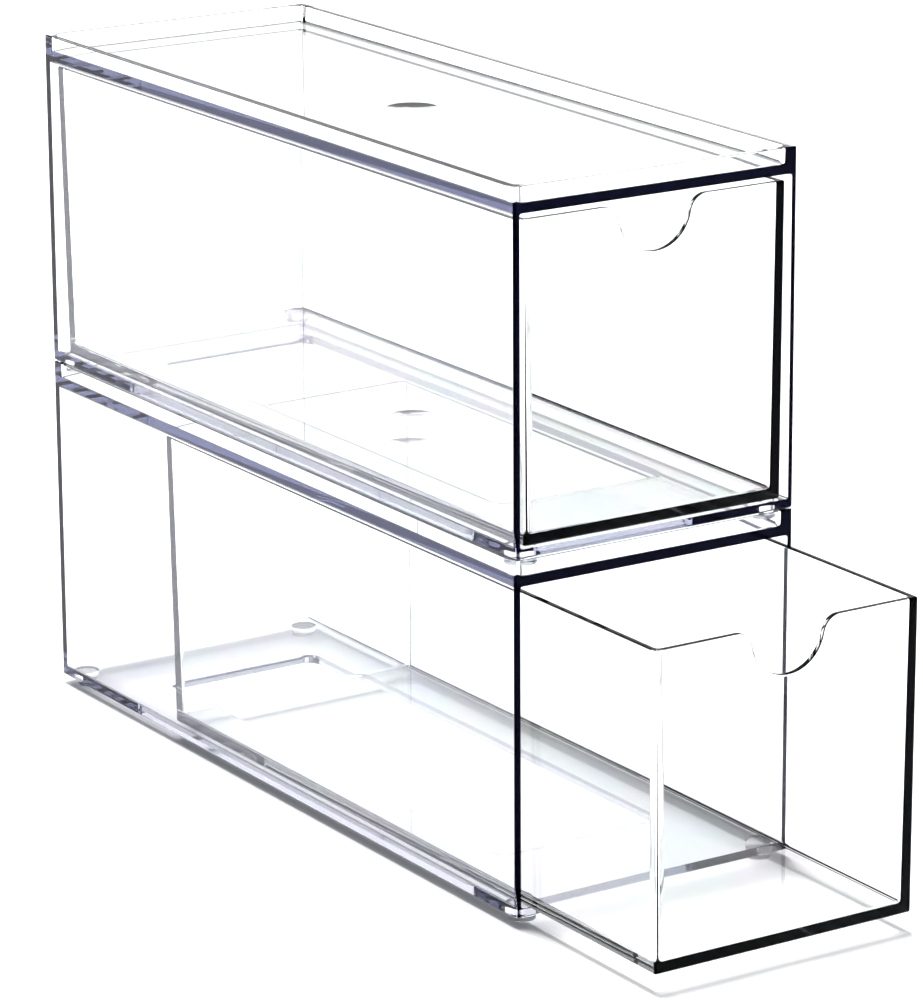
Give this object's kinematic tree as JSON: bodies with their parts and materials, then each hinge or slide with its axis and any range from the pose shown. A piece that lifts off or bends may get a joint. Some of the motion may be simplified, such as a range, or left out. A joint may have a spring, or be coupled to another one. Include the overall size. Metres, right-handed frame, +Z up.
{
  "type": "stacking drawer box",
  "caption": "Stack of clear drawer boxes for tea bags: each sleeve, open at the front, holds a pull-out tray with a finger scoop and nests on the sleeve below.",
  "frame": {"origin": "on the surface the lower casing stands on, mid width, midway between the front of the open lower drawer and the backs of the casings", "axes": "+Z up, drawers pull out towards -Y, X across the width"},
  "size_m": [0.095, 0.331, 0.2136],
  "materials": {
    "clear_casing": "clear polystyrene, high-polish moulding",
    "clear_drawer": "clear polystyrene, high-polish moulding"
  },
  "bodies": {
    "lower_casing": {"lower_casing": "clear_casing"},
    "lower_drawer": {"lower_drawer": "clear_drawer"},
    "upper_casing": {"upper_casing": "clear_casing"},
    "upper_drawer": {"upper_drawer": "clear_drawer"}
  },
  "joints": [
    {"name": "lower_drawer_slide", "type": "slide", "parent": "lower_casing", "child": "lower_drawer", "axis": [0, -1, 0], "range_m": [-0.064, 0.176]},
    {"name": "upper_casing_lift", "type": "slide", "parent": "lower_casing", "child": "upper_casing", "axis": [0, 0, 1], "range_m": [0, 0.03]},
    {"name": "upper_drawer_slide", "type": "slide", "parent": "upper_casing", "child": "upper_drawer", "axis": [0, -1, 0], "range_m": [0, 0.24]}
  ]
}
